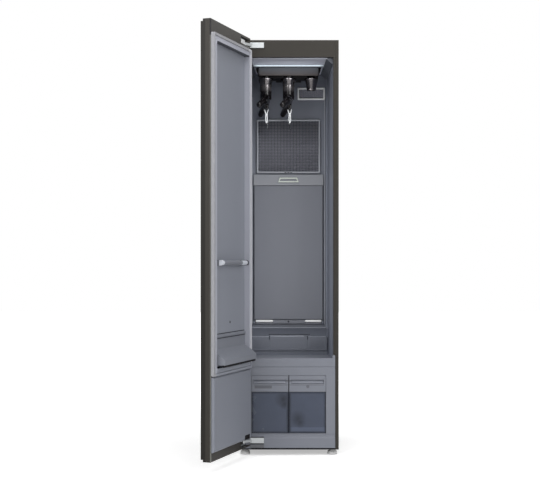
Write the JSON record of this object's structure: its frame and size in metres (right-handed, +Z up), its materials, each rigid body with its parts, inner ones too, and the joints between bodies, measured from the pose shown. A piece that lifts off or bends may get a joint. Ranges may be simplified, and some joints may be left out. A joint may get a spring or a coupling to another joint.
{
  "type": "clothes care steam cabinet",
  "caption": "Tall narrow cabinet with a hinged glass door that steams, shakes with air and dries garments hung inside, over water tanks that pull out.",
  "frame": {"origin": "on the floor, under the middle of the whole object's box with the door held open", "axes": "+Z up, -Y out of the cabinet's front, +X to the right of someone who faces the front; the door hangs on the left"},
  "size_m": [0.5818, 0.9978, 1.85],
  "materials": {
    "bronze": "satin dark bronze paint",
    "dark_glass": "dark tinted, polished",
    "grey_plastic": "satin blue grey",
    "liner_plastic": "satin blue grey",
    "border_plastic": "satin pale lilac grey",
    "gasket": "soft lilac grey",
    "black_plastic": "smooth black",
    "brown_plastic": "satin warm grey",
    "light_diffuser": "white, lit",
    "pale_handle": "satin greenish white",
    "filter_plastic": "satin grey",
    "smoked_plastic": "smoked, see-through",
    "steel": "bright",
    "galvanised": "zinc plated",
    "cast_black": "black paint",
    "aluminium": "mill",
    "copper": "dull copper",
    "white_plastic": "matte white",
    "foot_plastic": "satin pale grey"
  },
  "bodies": {
    "cabinet": {"side_panel_left": "bronze", "side_panel_right": "bronze", "top_panel": "bronze", "back_panel": "galvanised", "header_band": "bronze", "stile_left": "bronze", "stile_right": "bronze", "base_pan": "cast_black", "foot_front_left": "foot_plastic", "foot_front_right": "foot_plastic", "foot_back_left": "foot_plastic", "foot_back_right": "foot_plastic", "chamber_wall_left": "liner_plastic", "chamber_wall_right": "liner_plastic", "chamber_ceiling": "border_plastic", "chamber_back_wall": "liner_plastic", "light_bar": "light_diffuser", "air_manifold": "brown_plastic", "nozzle_left": "black_plastic", "nozzle_middle": "black_plastic", "nozzle_right": "black_plastic", "vent_grille": "filter_plastic", "steam_outlet": "liner_plastic", "floor_tray": "grey_plastic", "machine_front": "grey_plastic", "tank_bay": "liner_plastic", "compressor": "cast_black", "heat_exchanger": "aluminium", "blower_housing": "black_plastic", "blower_motor": "galvanised", "steam_generator": "copper", "water_pump": "white_plastic", "hinge_plate_upper": "steel", "hinge_plate_lower": "steel"},
    "door": {"door_frame": "bronze", "door_glass": "dark_glass", "door_liner": "border_plastic", "door_gasket": "gasket", "door_lower_panel": "grey_plastic", "drip_flap": "grey_plastic", "accessory_rod": "steel", "hinge_leaf_upper": "steel", "hinge_leaf_lower": "steel"},
    "drain_tank_body": {"drain_tank": "smoked_plastic", "drain_tank_grip": "grey_plastic"},
    "fresh_tank_body": {"fresh_tank": "smoked_plastic", "fresh_tank_grip": "grey_plastic"},
    "air_filter_body": {"air_filter": "filter_plastic"},
    "care_plate_body": {"care_plate": "grey_plastic", "care_plate_handle": "pale_handle"},
    "lint_filter_body": {"lint_filter": "liner_plastic"},
    "blower_wheel_body": {"blower_wheel": "grey_plastic"},
    "hanger_left": {"hanger_left_body": "black_plastic", "hanger_left_clip_bar": "steel"},
    "hanger_left_front_clip": {"hanger_left_jaw_front": "steel"},
    "hanger_left_back_clip": {"hanger_left_jaw_back": "steel"},
    "hanger_middle": {"hanger_middle_body": "black_plastic", "hanger_middle_clip_bar": "steel"},
    "hanger_middle_front_clip": {"hanger_middle_jaw_front": "steel"},
    "hanger_middle_back_clip": {"hanger_middle_jaw_back": "steel"}
  },
  "joints": [
    {"name": "door_hinge", "type": "hinge", "parent": "cabinet", "child": "door", "pos_m": [-0.13205, -0.08815, 0.947], "axis": [0, 0, 1], "range_deg": [0, 109.5]},
    {"name": "drain_tank_slide", "type": "slide", "parent": "cabinet", "child": "drain_tank_body", "axis": [0, 1, 0], "range_m": [-0.18, 0]},
    {"name": "fresh_tank_slide", "type": "slide", "parent": "cabinet", "child": "fresh_tank_body", "axis": [0, 1, 0], "range_m": [-0.18, 0]},
    {"name": "air_filter_slide", "type": "slide", "parent": "cabinet", "child": "air_filter_body", "axis": [0, 1, 0], "range_m": [-0.04, 0]},
    {"name": "care_plate_tilt", "type": "hinge", "parent": "cabinet", "child": "care_plate_body", "pos_m": [0.06845, 0.38585, 0.568], "axis": [-1, 0, 0], "range_deg": [-12, 0]},
    {"name": "lint_filter_slide", "type": "slide", "parent": "cabinet", "child": "lint_filter_body", "axis": [0, 0, -1], "range_m": [-0.06, 0]},
    {"name": "blower_spin", "type": "hinge", "parent": "cabinet", "child": "blower_wheel_body", "pos_m": [0.18215, 0.33585, 0.262], "axis": [0, 1, 0], "continuous": true},
    {"name": "hanger_left_swivel", "type": "hinge", "parent": "cabinet", "child": "hanger_left", "pos_m": [-0.03755, 0.19385, 1.7164], "axis": [0, 0, 1], "range_deg": [-10, 10]},
    {"name": "hanger_left_front_clip_hinge", "type": "hinge", "parent": "hanger_left", "child": "hanger_left_front_clip", "pos_m": [-0.032, 0.06885, 1.5334], "axis": [0, 1, 0], "range_deg": [0, 20], "stiffness_Nm_per_rad": 0.05, "springref_deg": -5.73},
    {"name": "hanger_left_back_clip_hinge", "type": "hinge", "parent": "hanger_left", "child": "hanger_left_back_clip", "pos_m": [-0.032, 0.31885, 1.5334], "axis": [0, 1, 0], "range_deg": [0, 20], "stiffness_Nm_per_rad": 0.05, "springref_deg": -5.73},
    {"name": "hanger_middle_swivel", "type": "hinge", "parent": "cabinet", "child": "hanger_middle", "pos_m": [0.06845, 0.19385, 1.7164], "axis": [0, 0, 1], "range_deg": [-10, 10]},
    {"name": "hanger_middle_front_clip_hinge", "type": "hinge", "parent": "hanger_middle", "child": "hanger_middle_front_clip", "pos_m": [0.074, 0.06885, 1.5334], "axis": [0, 1, 0], "range_deg": [0, 20], "stiffness_Nm_per_rad": 0.05, "springref_deg": -5.73},
    {"name": "hanger_middle_back_clip_hinge", "type": "hinge", "parent": "hanger_middle", "child": "hanger_middle_back_clip", "pos_m": [0.074, 0.31885, 1.5334], "axis": [0, 1, 0], "range_deg": [0, 20], "stiffness_Nm_per_rad": 0.05, "springref_deg": -5.73}
  ]
}
